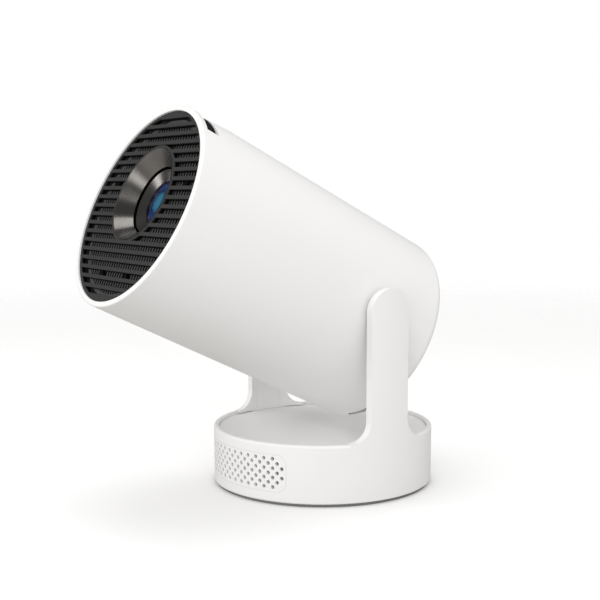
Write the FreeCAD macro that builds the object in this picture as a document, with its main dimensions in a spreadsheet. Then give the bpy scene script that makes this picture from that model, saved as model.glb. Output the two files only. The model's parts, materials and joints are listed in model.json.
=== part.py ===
import FreeCAD, Part
import os
import re
import Sketcher

# Home projector on a yoke stand.
# World frame: +Z up, origin at the centre of the underside, lens towards -Y.
# Head frame: origin at the pivot, +Z forward along the barrel, +Y up when the head is level.
# Lens frame: the head frame moved up to the lens axis.

doc = FreeCAD.newDocument("projector")

# ---------------------------------------------------------------- driving sizes, mm and degrees
DIMENSIONS = {
    # stand
    "rim_height": 30.3,
    "base_wall": 2.4,
    "rim_round": 1.3,
    "base_foot_round": 0.6,
    "plate_recess": 1.7,
    "plate_thickness": 2.0,
    "foot_height": 1.5,
    "foot_inset": 1.3,
    "foot_width": 9.0,
    "foot_round": 0.4,
    "floor_thickness": 2.2,
    "seam": 0.25,
    "swing_gap": 2.2,
    "arm_gap": 2.85,
    "arm_half_width": 11.2,
    "arm_thickness": 3.95,
    "arm_flare": 10.0,
    "arm_cover_thickness": 1.1,
    "arm_cover_half_width": 7.6,
    "arm_skin": 1.3,
    "tripod_radius": 3.175,
    "tripod_length": 7.0,
    "insert_wall": 2.5,
    "insert_flange": 1.5,
    "floor_screw_ring": 36.0,
    "boss_radius": 3.0,
    "boss_height": 5.5,
    # hinges
    "pin_radius": 4.0,
    "pin_bore": 2.2,
    "hinge_plate_thickness": 0.95,
    "hinge_plate_length": 45.0,
    "hinge_plate_margin": 1.4,
    "running_gap": 0.05,
    "bush_wall": 2.0,
    "bush_flange_wall": 4.0,
    "bush_flange_gap": 0.15,
    "bush_flange_thickness": 1.0,
    "bush_stand_in": 0.6,
    "washer_wall": 3.0,
    "washer_thickness": 0.8,
    "nut_wall": 2.6,
    "nut_thickness": 2.4,
    "nut_gap": 1.4,
    "pin_tail": 0.4,
    "bracket_half_height": 12.0,
    "bracket_length": 34.0,
    "bracket_thickness": 1.2,
    "bracket_screw_reach": 12.5,
    # screws
    "screw_head_radius": 2.6,
    "screw_head_height": 1.4,
    "screw_radius": 1.3,
    "screw_length": 5.0,
    "short_screw_length": 3.4,
    "screw_socket_radius": 0.9,
    "screw_socket_depth": 0.7,
    "screw_gap": 0.05,
    "head_gap": 0.2,
    # barrel
    "barrel_radius": 50.0,
    "barrel_wall": 2.4,
    "front_reach": 115.6,
    "rear_reach": 37.0,
    "rear_round": 4.5,
    "front_round": 0.7,
    "rest_tilt": 25.9,
    "barrel_boss_radius": 3.4,
    "barrel_boss_length": 8.0,
    # grille, mesh and trim
    "front_rim": 2.6,
    "grille_gap": 0.1,
    "grille_recess": 0.8,
    "grille_thickness": 2.0,
    "grille_margin": 1.5,
    "slot_pitch": 4.47,
    "slot_width": 2.7,
    "post_radius": 2.0,
    "post_ring": 36.0,
    "post_sink": 0.5,
    "lens_offset": 6.0,
    "lens_field_radius": 24.2,
    "mesh_depth": 3.6,
    "mesh_thickness": 0.8,
    "mesh_pitch": 2.45,
    "mesh_rib": 0.9,
    "mesh_margin": 2.0,
    "trim_front_radius": 22.8,
    "trim_front_depth": 0.6,
    "trim_lip": 0.3,
    "trim_gap": 0.7,
    "trim_depth": 7.4,
    "trim_wall": 1.0,
    # lens group
    "barrel_lens_radius": 15.95,
    "lens_tube_wall": 3.55,
    "nose_depth": 8.5,
    "nose_drop": 2.0,
    "nose_width": 4.95,
    "nose_length": 5.0,
    "front_lens_set_in": 0.7,
    "front_lens_curve": 26.0,
    "shallow_curve": 60.0,
    "thin_lens": 4.5,
    "middle_lens_depth": 28.0,
    "rear_lens_depth": 38.0,
    "rear_lens_curve": 30.0,
    "thick_lens": 6.0,
    "condenser_reach": 8.6,
    "condenser_thickness": 6.2,
    "condenser_curve": 10.0,
    "key_width": 2.4,
    "key_length": 16.0,
    "key_gap": 0.2,
    "key_share": 0.7,
    "cam_pin_radius": 1.4,
    "cam_gap": 0.25,
    "carrier_depth": 14.5,
    "carrier_thickness": 3.2,
    "carrier_wall": 3.0,
    "carrier_arm_width": 5.0,
    "mount_length": 25.0,
    "mount_wall": 2.2,
    "mount_flange": 7.0,
    "mount_flange_thickness": 2.5,
    "lens_tube_short": 4.0,
    # focus wheel
    "focus_slot_angle": 41.0,
    "focus_slot_start": 3.0,
    "focus_slot_width": 6.4,
    "slot_skin": 0.8,
    "scoop_depth": 1.2,
    "scoop_rise": 1.1,
    "scoop_length": 16.0,
    "scoop_lead": 0.5,
    "focus_ring_length": 21.0,
    "focus_ring_wall": 2.6,
    "focus_gap": 0.3,
    "focus_turn": 18.0,
    "focus_travel": 2.0,
    "grip_groove_radius": 0.45,
    # optical engine
    "bulkhead_depth": 26.0,
    "bulkhead_thickness": 2.0,
    "vent_radius": 8.5,
    "vent_ring": 33.5,
    "engine_width_share": 1.47,
    "engine_height_share": 0.966,
    "engine_length": 50.0,
    "engine_wall": 2.0,
    "panel_depth": 66.0,
    "panel_thickness": 2.6,
    "field_lens_thickness": 2.0,
    "field_lens_lead": 5.0,
    "field_lens_lag": 6.0,
    "panel_gap": 0.2,
    "funnel_depth": 76.0,
    "funnel_mouth": 18.5,
    "funnel_throat": 8.5,
    "funnel_wall": 1.0,
    "light_depth": 100.5,
    "light_gap": 3.0,
    "light_board_width": 34.0,
    "board_thickness": 1.6,
    "chip_width": 6.0,
    "chip_height": 1.0,
    # cooling
    "sink_depth": 103.0,
    "sink_width": 60.0,
    "sink_height": 44.0,
    "sink_length": 22.0,
    "sink_base": 4.0,
    "pedestal_width": 32.0,
    "fin_pitch": 4.2,
    "fin_thickness": 1.2,
    "fan_depth": 128.0,
    "fan_size": 60.0,
    "fan_length": 15.0,
    "fan_wall": 1.5,
    "fan_tip_gap": 0.9,
    "fan_hub_radius": 12.0,
    "fan_plate": 2.0,
    "fan_spoke_width": 3.0,
    "fan_shaft_radius": 1.0,
    "fan_bearing_radius": 3.0,
    "fan_bearing_length": 8.0,
    "fan_bolt_reach": 25.0,
    "fan_bolt_radius": 1.8,
    "rotor_radius": 10.5,
    "rotor_wall": 1.0,
    "blade_width": 13.0,
    "blade_thickness": 1.0,
    "blade_twist": 38.0,
    # rear
    "rear_rim": 5.6,
    "rear_cover_thickness": 2.2,
    "rear_cover_recess": 0.5,
    "rear_cover_round": 0.6,
    "rear_lip": 2.0,
    "rear_ledge": 1.5,
    "rear_screw_inset": 4.0,
    "rear_slot_width": 2.0,
    "board_width": 62.0,
    "board_inset": 14.0,
    "board_start": 42.0,
    "shield_width": 40.0,
    "shield_height": 5.0,
    "shield_length": 44.0,
    "shield_wall": 0.6,
    "shield_depth": 84.0,
    "port_length": 14.0,
    "port_wall": 0.6,
    "port_gap": 0.2,
    "port_relief_side": 4.0,
    "port_relief_height": 20.0,
    "port_relief_drop": 8.0,
    "sound_jack_radius": 1.8,
    "button_inset": 7.0,
    "button_radius": 4.8,
    "button_travel": 0.8,
    "button_proud": 0.4,
    "button_stem": 1.6,
    "button_stem_length": 3.0,
    "button_gap": 0.3,
    "light_ring_wall": 1.0,
    "switch_width": 6.0,
    "switch_height": 3.4,
    "switch_gap": 0.1,
    # base fittings
    "hole_radius": 0.95,
    "hole_rise": 2.33,
    "hole_angle": 4.886,
    "hole_top": 22.9,
    "speaker_width": 44.0,
    "speaker_height": 20.0,
    "speaker_setback": 9.0,
    "speaker_flange": 2.0,
    "speaker_can_length": 9.0,
    "speaker_can_share": 0.8,
    "cone_mouth": 8.4,
    "cone_throat": 3.4,
    "cone_wall": 0.5,
    "cone_length": 5.0,
    "magnet_radius": 7.0,
    "cloth_thickness": 0.6,
    "cloth_gap": 0.15,
    "inlet_width": 20.0,
    "inlet_height": 13.0,
    "inlet_depth": 16.0,
    "inlet_setback": 0.6,
    "inlet_lift": 2.0,
    "lobe_radius": 3.9,
    "lobe_reach": 3.6,
    "waist_height": 5.4,
    "socket_depth": 12.0,
    "contact_radius": 1.2,
    "contact_reach": 4.3,
    "power_board_width": 62.0,
    "power_board_depth": 44.0,
    "power_board_back": 8.0,
    "power_board_lift": 7.0,
    "core_width": 20.0,
    "core_depth": 18.0,
    "core_height": 9.0,
    "can_radius": 3.4,
    "can_height": 9.5,
}

# ---------------------------------------------------------------- sizes worked out from them
FITS = {
    "arm_inner": "barrel_radius + arm_gap",
    "base_radius": "arm_inner + arm_thickness",
    "base_inner": "base_radius - base_wall",
    "plate_top": "rim_height - plate_recess",
    "plate_bottom": "plate_top - plate_thickness",
    "pivot_height": "plate_top + sqrt(rear_reach ^ 2 + barrel_radius ^ 2) + swing_gap",
    "floor_top": "foot_height + floor_thickness",
    "channel_inner": "arm_inner + arm_cover_thickness",
    "channel_outer": "base_radius - arm_skin",
    "hinge_plate_x": "channel_inner + running_gap * 2",
    "insert_radius": "tripod_radius + insert_wall",
    "barrel_inner": "barrel_radius - barrel_wall",
    "bracket_outer": "sqrt(barrel_inner ^ 2 - bracket_half_height ^ 2) - running_gap",
    "bracket_inner": "bracket_outer - bracket_thickness",
    "bush_start": "bracket_inner - bush_stand_in",
    "bush_radius": "pin_radius + bush_wall",
    "flange_end": "barrel_radius + bush_flange_gap + bush_flange_thickness",
    "nut_start": "bush_start - nut_gap - nut_thickness",
    "screw_hole_radius": "screw_radius + screw_gap",
    "head_length": "front_reach + rear_reach",
    "grille_radius": "barrel_radius - front_rim",
    "grille_back": "grille_recess + grille_thickness",
    "slot_end": "focus_slot_start + focus_slot_width",
    "relief_radius": "barrel_radius - slot_skin",
    "ring_outer": "barrel_inner - focus_gap",
    "ring_inner": "ring_outer - focus_ring_wall",
    "ring_start": "grille_back + focus_gap",
    "ring_end": "ring_start + focus_ring_length",
    "ring_middle": "(ring_outer + ring_inner) / 2",
    "pin_depth": "carrier_depth + carrier_thickness / 2",
    "cam_slope": "atan(focus_travel / (ring_middle * sin(focus_turn)))",
    "cam_half_length": "ring_outer * sin(focus_turn) / cos(cam_slope) + cam_pin_radius + cam_gap",
    "scoop_drop": "(2 * barrel_radius - scoop_depth) * scoop_depth"
                  " / (2 * (barrel_radius - scoop_depth - barrel_radius * cos(focus_slot_angle)))",
    "scoop_radius": "barrel_radius - scoop_depth + scoop_drop",
    "trim_back_radius": "barrel_lens_radius + trim_gap",
    "nose_back_radius": "barrel_lens_radius - nose_width",
    "nose_end": "nose_depth + nose_length",
    "front_lens_depth": "nose_depth + front_lens_set_in",
    "lens_bore": "barrel_lens_radius - lens_tube_wall",
    "mount_bore": "barrel_lens_radius + running_gap * 2",
    "engine_depth": "bulkhead_depth + mount_length",
    "engine_wide": "engine_width_share * barrel_inner",
    "engine_tall": "engine_height_share * barrel_inner",
    "rear_cover_radius": "barrel_radius - rear_rim",
    "rear_screw_ring": "rear_cover_radius - rear_screw_inset",
    "rear_depth": "head_length - rear_cover_recess - rear_cover_thickness",
    "rear_face": "rear_depth + rear_cover_thickness",
    "ledge_depth": "rear_depth - rear_lip",
    "board_drop": "rear_cover_radius - board_inset",
    "button_height": "rear_cover_radius - button_inset",
    "stem_end": "rear_depth - button_stem_length",
    "switch_top": "stem_end - button_travel - switch_gap",
    "fan_end": "fan_depth + fan_length",
    "fan_bore": "fan_size / 2 - fan_wall",
    "blade_tip": "fan_bore - fan_tip_gap",
    "inlet_centre": "floor_top + inlet_lift + inlet_height / 2",
    "inlet_face": "base_radius - inlet_setback",
    "speaker_centre": "floor_top + inlet_lift + speaker_height / 2",
    "speaker_face": "speaker_setback - base_inner",
    "power_board_low": "floor_top + power_board_lift",
    "power_board_top": "power_board_low + board_thickness",
}

sheet = doc.addObject("Spreadsheet::Sheet", "Dims")
for row, (alias, size) in enumerate(DIMENSIONS.items(), start=1):
    sheet.set(f"A{row}", alias.replace("_", " "))
    sheet.set(f"B{row}", str(size))
    sheet.setAlias(f"B{row}", alias)
doc.recompute()

fits = doc.addObject("App::VarSet", "Fit")
WORD = re.compile(r"[a-z_]+[a-z]")


def formula(text):
    """The same sum with each size pointing at its cell or at its worked-out value."""

    def point(match):
        word = match.group(0)
        if word in DIMENSIONS:
            return "Dims." + word
        if word in FITS:
            return "Fit." + word
        return word

    return WORD.sub(point, str(text))


for alias, text in FITS.items():
    fits.addProperty("App::PropertyFloat", alias)
    fits.setExpression(alias, formula(text))
doc.recompute()


def value(text):
    """The number that a formula gives now."""
    return float(fits.evalExpression(formula(text)))


# ---------------------------------------------------------------- frames
NO_TURN = "rotation(vector(0; 0; 1); 0)"
AXIS_TURN = {
    "z": NO_TURN,
    "x": "rotation(vector(0; 1; 0); 90)",
    "-x": "rotation(vector(0; 1; 0); -90)",
    "y": "rotation(vector(1; 0; 0); -90)",
    "-y": "rotation(vector(1; 0; 0); 90)",
}
WORLD = f"placement(vector(0; 0; 0); {NO_TURN})"
HEAD = "placement(vector(0; 0; pivot_height); rotation(vector(1; 0; 0); 90 - rest_tilt))"
LENS = f"{HEAD} * placement(vector(0; lens_offset; 0); {NO_TURN})"
nodes = []
own_places = {}


def place(piece, at, turn=NO_TURN):
    text = f"placement(vector({at[0]}; {at[1]}; {at[2]}); {turn})"
    own_places[piece.Name] = text
    piece.setExpression("Placement", formula(text))
    return piece


def node(name, piece, frame=WORLD):
    """Make this object a sub-part: name it and set it into its frame."""
    piece.Label = name
    own = own_places.get(piece.Name)
    piece.setExpression("Placement", formula(f"{frame} * {own}" if own else frame))
    nodes.append(piece)
    return piece


def depth(text):
    """Place along the barrel, measured back from the front rim."""
    return f"front_reach - ({text})"


# ---------------------------------------------------------------- primitives bound to the sheet
def unique(name):
    return name if doc.getObject(name) is None else name + "_piece"


def box(name, size, middle, turn=None):
    """A block about its middle."""
    piece = doc.addObject("Part::Box", unique(name))
    for side, text in zip(("Length", "Width", "Height"), size):
        piece.setExpression(side, formula(text))
    if turn is None:
        corner = [f"({m}) - ({s}) / 2" for m, s in zip(middle, size)]
        return place(piece, corner)
    centre = f"placement(vector({middle[0]}; {middle[1]}; {middle[2]}); {turn})"
    corner = "; ".join(f"-({s}) / 2" for s in size)
    piece.setExpression("Placement", formula(f"{centre} * placement(vector({corner}); {NO_TURN})"))
    return piece


def cylinder(name, radius, length, at=("0", "0", "0"), axis="z"):
    piece = doc.addObject("Part::Cylinder", unique(name))
    piece.setExpression("Radius", formula(radius))
    piece.setExpression("Height", formula(length))
    return place(piece, at, AXIS_TURN[axis])


def cone(name, radius_a, radius_b, length, at=("0", "0", "0"), axis="z"):
    piece = doc.addObject("Part::Cone", unique(name))
    piece.setExpression("Radius1", formula(radius_a))
    piece.setExpression("Radius2", formula(radius_b))
    piece.setExpression("Height", formula(length))
    return place(piece, at, AXIS_TURN[axis])


def sphere(name, radius, at):
    piece = doc.addObject("Part::Sphere", unique(name))
    piece.setExpression("Radius", formula(radius))
    return place(piece, at)


def fuse(name, pieces):
    joined = doc.addObject("Part::MultiFuse", unique(name))
    joined.Shapes = pieces
    joined.Refine = True
    return joined


def group(name, pieces):
    """Separate solids kept side by side, for identical fasteners."""
    together = doc.addObject("Part::Compound", unique(name))
    together.Links = pieces
    return together


def cut(name, base, tools):
    result = doc.addObject("Part::Cut", unique(name))
    result.Base = base
    result.Tool = tools[0] if len(tools) == 1 else fuse(name + "_tools", tools)
    return result


def common(name, pieces):
    result = doc.addObject("Part::MultiCommon", unique(name))
    result.Shapes = pieces
    return result


def ring(name, outer, inner, length, at=("0", "0", "0"), axis="z"):
    return cut(
        name,
        cylinder(name + "_outside", outer, length, at, axis),
        [cylinder(name + "_bore", inner, f"({length}) * 3", shifted(at, length, axis), axis)],
    )


def shifted(at, length, axis):
    """Start of a bore that runs past both ends of a ring."""
    step = {"z": (0, 0, -1), "x": (-1, 0, 0), "-x": (1, 0, 0), "y": (0, -1, 0), "-y": (0, 1, 0)}[axis]
    return [f"({a}) + ({length}) * ({s})" for a, s in zip(at, step)]


# ---------------------------------------------------------------- bodies with sketches
def plane(body, role):
    return next(item for item in body.Origin.OriginFeatures if item.Role == role)


def outline(body, name, role, points):
    """A closed outline of straight sides whose corners are bound to the sheet."""
    sketch = body.newObject("Sketcher::SketchObject", name)
    sketch.AttachmentSupport = [(plane(body, role), "")]
    sketch.MapMode = "FlatFace"
    spots = [FreeCAD.Vector(value(x), value(y), 0) for x, y in points]
    count = len(spots)
    for number in range(count):
        sketch.addGeometry(Part.LineSegment(spots[number], spots[(number + 1) % count]), False)
    for number in range(count):
        follower = (number + 1) % count
        sketch.addConstraint(Sketcher.Constraint("Coincident", number, 2, follower, 1))
    for number, (x, y) in enumerate(points):
        for kind, text in (("DistanceX", x), ("DistanceY", y)):
            row = sketch.addConstraint(Sketcher.Constraint(kind, -1, 1, number, 1, value(text)))
            sketch.setExpression(f"Constraints[{row}]", formula(text))
    return sketch


def turned(name, profile):
    """A body turned about Z from an outline of (radius, height) points."""
    body = doc.addObject("PartDesign::Body", unique(name))
    sketch = outline(body, name + "_profile", "XZ_Plane", profile)
    turn = body.newObject("PartDesign::Revolution", name + "_turn")
    turn.Profile = sketch
    turn.ReferenceAxis = (sketch, ["V_Axis"])
    turn.Angle = 360
    doc.recompute()
    return body


def padded(name, points, length, role="XY_Plane", middle=False):
    """A body padded from an outline, upwards from its plane or about it."""
    body = doc.addObject("PartDesign::Body", unique(name))
    sketch = outline(body, name + "_outline", role, points)
    pad = body.newObject("PartDesign::Pad", name + "_pad")
    pad.Profile = sketch
    pad.setExpression("Length", formula(length))
    pad.Midplane = middle
    doc.recompute()
    return body


def rounded(body, radius, wanted):
    """Round the edges of a body that the test picks."""
    base = body.Tip
    picked = [f"Edge{n}" for n, edge in enumerate(base.Shape.Edges, start=1) if wanted(edge)]
    fillet = body.newObject("PartDesign::Fillet", body.Name + "_round")
    fillet.Base = (base, picked)
    fillet.setExpression("Radius", formula(radius))
    doc.recompute()
    return body


def is_circle(edge, radius, height):
    """True for a circle about Z with this radius at this height."""
    if not isinstance(edge.Curve, Part.Circle):
        return False
    same_radius = abs(edge.Curve.Radius - value(radius)) < 1e-4
    return same_radius and abs(edge.Curve.Center.z - value(height)) < 1e-4


def disc_profile(radius, low, high):
    return [("0", low), (radius, low), (radius, high), ("0", high)]


def tube_profile(inner, outer, low, high):
    return [(inner, low), (outer, low), (outer, high), (inner, high)]


def rectangle(width, height, x="0", y="0"):
    left = f"({x}) - ({width}) / 2"
    right = f"({x}) + ({width}) / 2"
    low = f"({y}) - ({height}) / 2"
    high = f"({y}) + ({height}) / 2"
    return [(left, low), (right, low), (right, high), (left, high)]


def screw(name, at, axis, length="screw_length"):
    """A pan-head screw: the head starts at the place given and the shank runs on along the axis."""
    end = f"screw_head_height + {length}"
    body = turned(name, [
        ("screw_socket_radius", "0"),
        ("screw_head_radius", "0"),
        ("screw_head_radius", "screw_head_height"),
        ("screw_radius", "screw_head_height"),
        ("screw_radius", end),
        ("0", end),
        ("0", "screw_socket_depth"),
        ("screw_socket_radius", "screw_socket_depth"),
    ])
    return place(body, at, AXIS_TURN[axis])


def on_ring(radius, angles):
    """Places on a circle about the middle."""
    return [(f"{radius} * cos({angle})", f"{radius} * sin({angle})") for angle in angles]


# ================================================================ stand
SIDES = {"left": ("-x", "-1"), "right": ("x", "1")}
FLOOR_SCREWS = on_ring("floor_screw_ring", (50, 130, 230, 310))
HOLE_REACHES = (6, 6.5, 7, 6.5, 7, 6.5, 6)
CAN_SPOTS = (("8", "18"), ("17", "18"), ("26", "18"), ("12", "4"))
CORE_SPOT = ("-14", "12")
CLOTH_HALF_ANGLE = 40
THROUGH = "60"


def stadium_slab(name, half_width, low, x_from, x_to):
    """An upright plate across X, half-round about the pivot, from x_from to x_to."""
    length = f"({x_to}) - ({x_from})"
    middle = f"(({x_to}) + ({x_from})) / 2"
    tall = f"pivot_height - ({low})"
    centre = (middle, "0", f"({low}) + ({tall}) / 2")
    block = box(name + "_block", (length, f"2 * ({half_width})", tall), centre)
    top = cylinder(name + "_top", half_width, length, (x_from, "0", "pivot_height"), "x")
    return fuse(name + "_slab", [block, top])


def wide_slab(name, half_width, low):
    """The same plate from one side of the stand to the other."""
    return stadium_slab(name, half_width, low, "-2 * base_radius", "2 * base_radius")


def arm_band(name, inner, outer, low):
    """The curved wall that an arm is cut from."""
    high = "pivot_height + 2 * arm_half_width"
    return ring(name + "_band", outer, inner, f"{high} - ({low})", ("0", "0", low))


def speaker_holes():
    """Round holes in offset rows, turned about the axis of the base."""
    holes = []
    for row, reach in enumerate(HOLE_REACHES):
        for number in range(int(2 * reach) + 1):
            hole = doc.addObject("Part::Cylinder", f"hole_{row}_{number}")
            hole.setExpression("Radius", formula("hole_radius"))
            hole.setExpression("Height", formula("base_wall * 3"))
            rise = f"placement(vector(0; 0; hole_top - {row} * hole_rise); "
            turn = f"rotation(({number - reach}) * hole_angle; 0; 90))"
            outwards = f"placement(vector(0; 0; base_inner - base_wall); {NO_TURN})"
            hole.setExpression("Placement", formula(f"{rise}{turn} * {outwards}"))
            holes.append(hole)
    return holes


def build_stand_shell():
    wall = turned("stand_wall", tube_profile("base_inner", "base_radius", "foot_height", "rim_height"))
    rounded(wall, "rim_round", lambda edge: is_circle(edge, "base_radius", "rim_height"))
    rounded(wall, "base_foot_round", lambda edge: is_circle(edge, "base_radius", "foot_height"))
    flare_block = box(
        "flare_block",
        ("4 * base_radius", "2 * (arm_half_width + arm_flare)", "arm_flare + rim_round"),
        ("0", "0", "rim_height + (arm_flare - rim_round) / 2"),
    )
    hollows = [
        cylinder(
            f"flare_hollow_{label}",
            "arm_flare",
            "6 * base_radius",
            ("-3 * base_radius", f"{sign} * (arm_half_width + arm_flare)", "rim_height + arm_flare"),
            "x",
        )
        for label, sign in (("front", "-1"), ("back", "1"))
    ]
    flare = cut("flare", flare_block, hollows)
    arm_outline = fuse("arm_outline", [wide_slab("arm", "arm_half_width", "plate_bottom"), flare])
    arms = common("arms", [arm_outline, arm_band("arm", "arm_inner", "base_radius", "plate_bottom")])
    channel = common("channel", [
        wide_slab("channel", "arm_cover_half_width", "plate_bottom - seam"),
        arm_band("channel", "arm_inner - seam", "channel_outer", "plate_bottom - seam"),
    ])
    inlet_hole = box("inlet_hole", ("inlet_width", "base_wall * 4", "inlet_height"),
                     ("0", "base_radius", "inlet_centre"))
    solid = fuse("stand_shell_solid", [wall, arms])
    node("stand_shell", cut("stand_shell_cut", solid, [channel, inlet_hole] + speaker_holes()))


def build_stand_covers():
    plate = turned("plate_disc", [
        ("0", "plate_bottom"),
        ("base_inner - seam", "plate_bottom"),
        ("base_inner - seam", "plate_top - seam"),
        ("base_inner - 2 * seam", "plate_top"),
        ("0", "plate_top"),
    ])
    tall = "6 * plate_thickness"
    notch_low = ("0", "0", f"plate_top - {tall} / 2")
    notches = common("plate_notches", [
        box("plate_notch_block", ("3 * base_radius", "2 * (arm_half_width + seam)", tall),
            ("0", "0", "plate_top")),
        ring("plate_notch_band", "base_radius", "arm_inner - seam", tall, notch_low),
    ])
    node("stand_top_plate", cut("plate", plate, [notches]))
    for side, (axis, sign) in SIDES.items():
        low, high = ("0", "base_radius") if side == "right" else ("-base_radius", "0")
        half_width = "arm_cover_half_width - running_gap * 2"
        slab = stadium_slab(f"cover_{side}", half_width, "plate_bottom", low, high)
        band = arm_band(f"cover_{side}", "arm_inner", "channel_inner", "plate_bottom")
        cover = common(f"cover_{side}_solid", [slab, band])
        hole = cylinder(f"cover_hole_{side}", "pin_radius + running_gap * 4", "base_radius",
                        ("0", "0", "pivot_height"), axis)
        node(f"arm_cover_{side}", cut(f"cover_{side}_cut", cover, [hole]))


def build_underside():
    floor = tube_profile("insert_radius", "base_inner - seam", "foot_height", "floor_top")
    base = turned("floor_disc", floor)
    bosses = []
    cuts = []
    screws = []
    for n, (x, y) in enumerate(FLOOR_SCREWS):
        bosses.append(ring(f"floor_boss_{n}", "boss_radius", "screw_radius", "boss_height",
                           (x, y, "floor_top - seam")))
        cuts.append(cylinder(f"floor_bore_{n}", "screw_hole_radius", THROUGH, (x, y, "0")))
        cuts.append(cylinder(f"floor_sink_{n}", "screw_head_radius + head_gap",
                             "foot_height + screw_head_height", (x, y, "running_gap * 2")))
        screws.append(screw(f"base_screw_{n}", (x, y, "foot_height + running_gap * 2"), "z"))
    node("stand_bottom_cover", cut("floor", fuse("floor_solid", [base] + bosses), cuts))
    node("base_screws", group("base_screw_set", screws))
    foot_outer = "base_radius - foot_inset"
    foot = turned("foot", tube_profile(f"{foot_outer} - foot_width", foot_outer, "0", "foot_height"))
    rounded(foot, "foot_round", lambda edge: is_circle(edge, foot_outer, "0"))
    node("foot_ring", foot)
    node("tripod_insert", turned("insert", [
        ("tripod_radius", "foot_height"),
        ("insert_radius", "foot_height"),
        ("insert_radius", "floor_top"),
        ("insert_radius + insert_flange", "floor_top"),
        ("insert_radius + insert_flange", "floor_top + seam * 4"),
        ("tripod_radius + insert_flange", "floor_top + seam * 4"),
        ("tripod_radius + insert_flange", "foot_height + tripod_length"),
        ("tripod_radius", "foot_height + tripod_length"),
    ]))


def build_hinges():
    washers = []
    nuts = []
    for side, (axis, sign) in SIDES.items():
        low, high = ("hinge_plate_x", "hinge_plate_x + hinge_plate_thickness")
        if side == "left":
            low, high = (f"-({high})", f"-{low}")
        leaf = stadium_slab(f"hinge_{side}", "arm_cover_half_width - hinge_plate_margin",
                            "pivot_height - hinge_plate_length", low, high)
        bore = cylinder(f"hinge_{side}_bore", "pin_radius", "base_radius", ("0", "0", "pivot_height"), axis)
        node(f"hinge_plate_{side}", cut(f"hinge_{side}", leaf, [bore]))
        start = "nut_start - pin_tail"
        length = f"hinge_plate_x + hinge_plate_thickness - ({start})"
        pin_start = (f"{sign} * ({start})", "0", "pivot_height")
        pin = ring(f"pin_{side}", "pin_radius", "pin_bore", length, pin_start, axis)
        node(f"pivot_pin_{side}", pin)
        washer_start = f"{sign} * (flange_end + bush_flange_gap)"
        washers.append(ring(f"washer_{side}", "pin_radius + washer_wall", "pin_radius + running_gap",
                            "washer_thickness", (washer_start, "0", "pivot_height"), axis))
        nuts.append(ring(f"nut_{side}", "pin_radius + nut_wall", "pin_radius", "nut_thickness",
                         (f"{sign} * nut_start", "0", "pivot_height"), axis))
    node("friction_washers", group("washer_set", washers))
    node("hinge_nuts", group("nut_set", nuts))


def build_power_supply():
    board = padded("psu", rectangle("power_board_width", "power_board_depth", "0", "power_board_back"),
                   "board_thickness")
    node("power_board", board, f"placement(vector(0; 0; power_board_low); {NO_TURN})")
    core = box("transformer_core", ("core_width", "core_depth", "core_height"),
               (*CORE_SPOT, "power_board_top + core_height / 2"))
    node("transformer", core)
    cans = [
        cylinder(f"capacitor_{n}", "can_radius", "can_height", (x, y, "power_board_top"))
        for n, (x, y) in enumerate(CAN_SPOTS)
    ]
    node("capacitors", group("capacitor_set", cans))


def build_inlet():
    body = box("inlet_body", ("inlet_width - seam * 2", "inlet_depth", "inlet_height - seam * 2"),
               ("0", "inlet_face - inlet_depth / 2", "inlet_centre"))
    floor = "inlet_face - socket_depth"
    hollow = [box("inlet_waist", ("2 * lobe_reach", "socket_depth", "waist_height"),
                  ("0", "inlet_face - socket_depth / 2", "inlet_centre"))]
    bores = []
    pins = []
    back = "inlet_face - inlet_depth"
    for label, sign in (("left", "-1"), ("right", "1")):
        hollow.append(cylinder(f"inlet_lobe_{label}", "lobe_radius", "socket_depth",
                               (f"{sign} * lobe_reach", floor, "inlet_centre"), "y"))
        bores.append(cylinder(f"inlet_pin_bore_{label}", "contact_radius", "inlet_depth",
                              (f"{sign} * contact_reach", f"{back} - seam", "inlet_centre"), "y"))
        pins.append(cylinder(f"inlet_pin_{label}", "contact_radius", "inlet_depth - 8 * seam",
                             (f"{sign} * contact_reach", f"{back} - 4 * seam", "inlet_centre"), "y"))
    node("mains_inlet", cut("inlet", body, [fuse("inlet_socket", hollow)] + bores))
    node("inlet_pins", group("inlet_pin_set", pins))


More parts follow.
